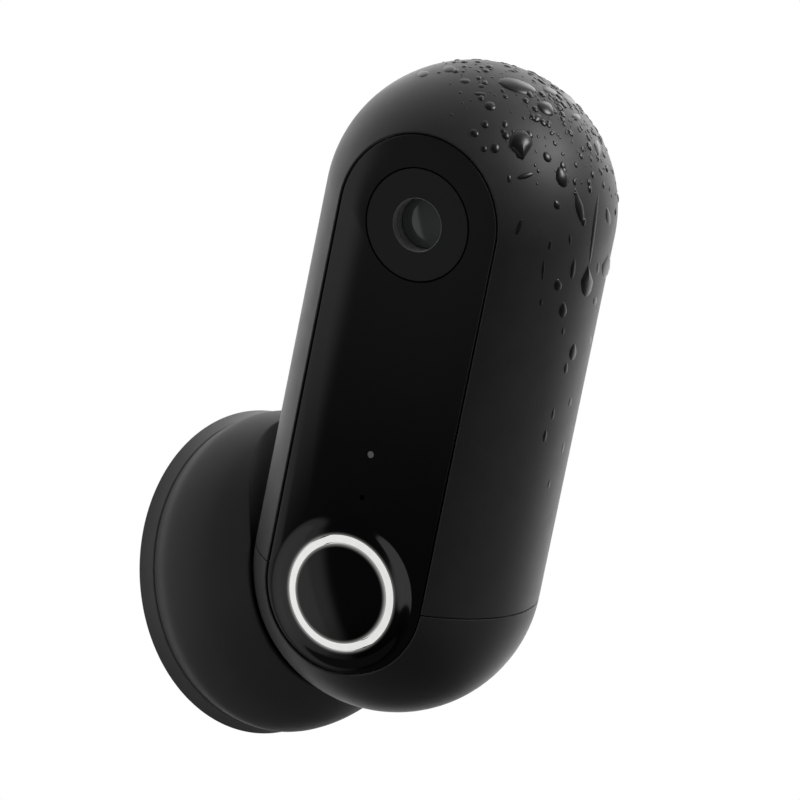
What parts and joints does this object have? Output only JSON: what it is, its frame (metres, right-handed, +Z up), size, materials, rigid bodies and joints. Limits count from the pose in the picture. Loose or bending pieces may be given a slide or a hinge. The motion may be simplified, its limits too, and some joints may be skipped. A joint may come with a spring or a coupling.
{
  "type": "video doorbell",
  "caption": "Pill-shaped matt black battery video doorbell with a lit push ring, leaning out of a round magnetic wall mount.",
  "frame": {"origin": "centre of the wall plate's flat back face, on the wall", "axes": "+Y into the wall, -Y out of the wall, +Z up, +X to the right of someone facing the wall"},
  "size_m": [0.0552, 0.0822, 0.1112],
  "materials": {
    "matt_black_plastic": "fine textured matt moulding",
    "mount_plastic": "fine textured matt moulding, slightly paler",
    "gloss_black": "polished",
    "ring_light": "frosted, lit white",
    "lens_glass": "coated",
    "grey_window": "translucent",
    "black_rubber": "matt",
    "zinc_steel": "zinc plated",
    "nickel": "nickel plated",
    "circuit_board": "solder resist",
    "chip_black": "moulded epoxy",
    "inner_plastic": "plain moulding",
    "cell_wrap": "shrink film"
  },
  "bodies": {
    "mount": {"wall_plate": "mount_plastic", "mount_cup": "mount_plastic", "magnet_yoke": "zinc_steel", "magnet": "nickel", "lock_screw": "zinc_steel"},
    "liner": {"swivel_liner": "black_rubber"},
    "camera": {"upper_housing": "matt_black_plastic", "bottom_cap": "matt_black_plastic", "cap_seal": "black_rubber", "front_plate": "gloss_black", "plate_gasket": "black_rubber", "lens_bezel": "gloss_black", "lens_barrel": "inner_plastic", "front_lens": "lens_glass", "rear_lens": "lens_glass", "lens_holder": "inner_plastic", "image_sensor": "chip_black", "sensor_board": "circuit_board", "ir_board": "circuit_board", "ir_led_1": "grey_window", "ir_led_2": "grey_window", "ir_led_3": "grey_window", "ir_led_4": "grey_window", "light_ring": "ring_light", "ring_board": "circuit_board", "ring_led_1": "grey_window", "ring_led_2": "grey_window", "ring_led_3": "grey_window", "ring_led_4": "grey_window", "ring_led_5": "grey_window", "ring_led_6": "grey_window", "push_spring": "zinc_steel", "ring_carrier": "inner_plastic", "tact_switch": "chip_black", "sensor_window": "grey_window", "light_sensor": "chip_black", "microphone": "nickel", "front_board": "circuit_board", "board_screw_1": "zinc_steel", "board_screw_2": "zinc_steel", "main_board": "circuit_board", "chassis": "inner_plastic", "chassis_screw_1": "zinc_steel", "chassis_screw_2": "zinc_steel", "chassis_screw_3": "zinc_steel", "chassis_screw_4": "zinc_steel", "antenna": "nickel", "battery_cell_1": "cell_wrap", "battery_cell_2": "cell_wrap", "lower_contact": "nickel", "upper_contact": "nickel", "speaker": "inner_plastic", "usb_socket": "nickel", "reset_button": "chip_black", "steel_armature": "zinc_steel"},
    "push": {"push_cap": "gloss_black"},
    "reset": {"reset_plunger": "grey_window"}
  },
  "joints": [
    {"name": "tilt", "type": "hinge", "parent": "mount", "child": "liner", "pos_m": [0, -0.0346, 0], "axis": [1, 0, 0], "range_deg": [-17.5, 28.5]},
    {"name": "spin", "type": "hinge", "parent": "liner", "child": "camera", "pos_m": [0, -0.0346, 0], "axis": [0, -0.3665, 0.9304], "continuous": true},
    {"name": "push_press", "type": "slide", "parent": "camera", "child": "push", "axis": [0.9336, 0.3334, 0.1313], "range_m": [0, 0.0007], "stiffness_N_per_m": 1500, "springref_m": -0.0003, "deforming": ["push_spring"]},
    {"name": "reset_press", "type": "slide", "parent": "camera", "child": "reset", "axis": [0, -0.3665, 0.9304], "range_m": [0, 0.0003], "stiffness_N_per_m": 800, "springref_m": -0.0003}
  ]
}
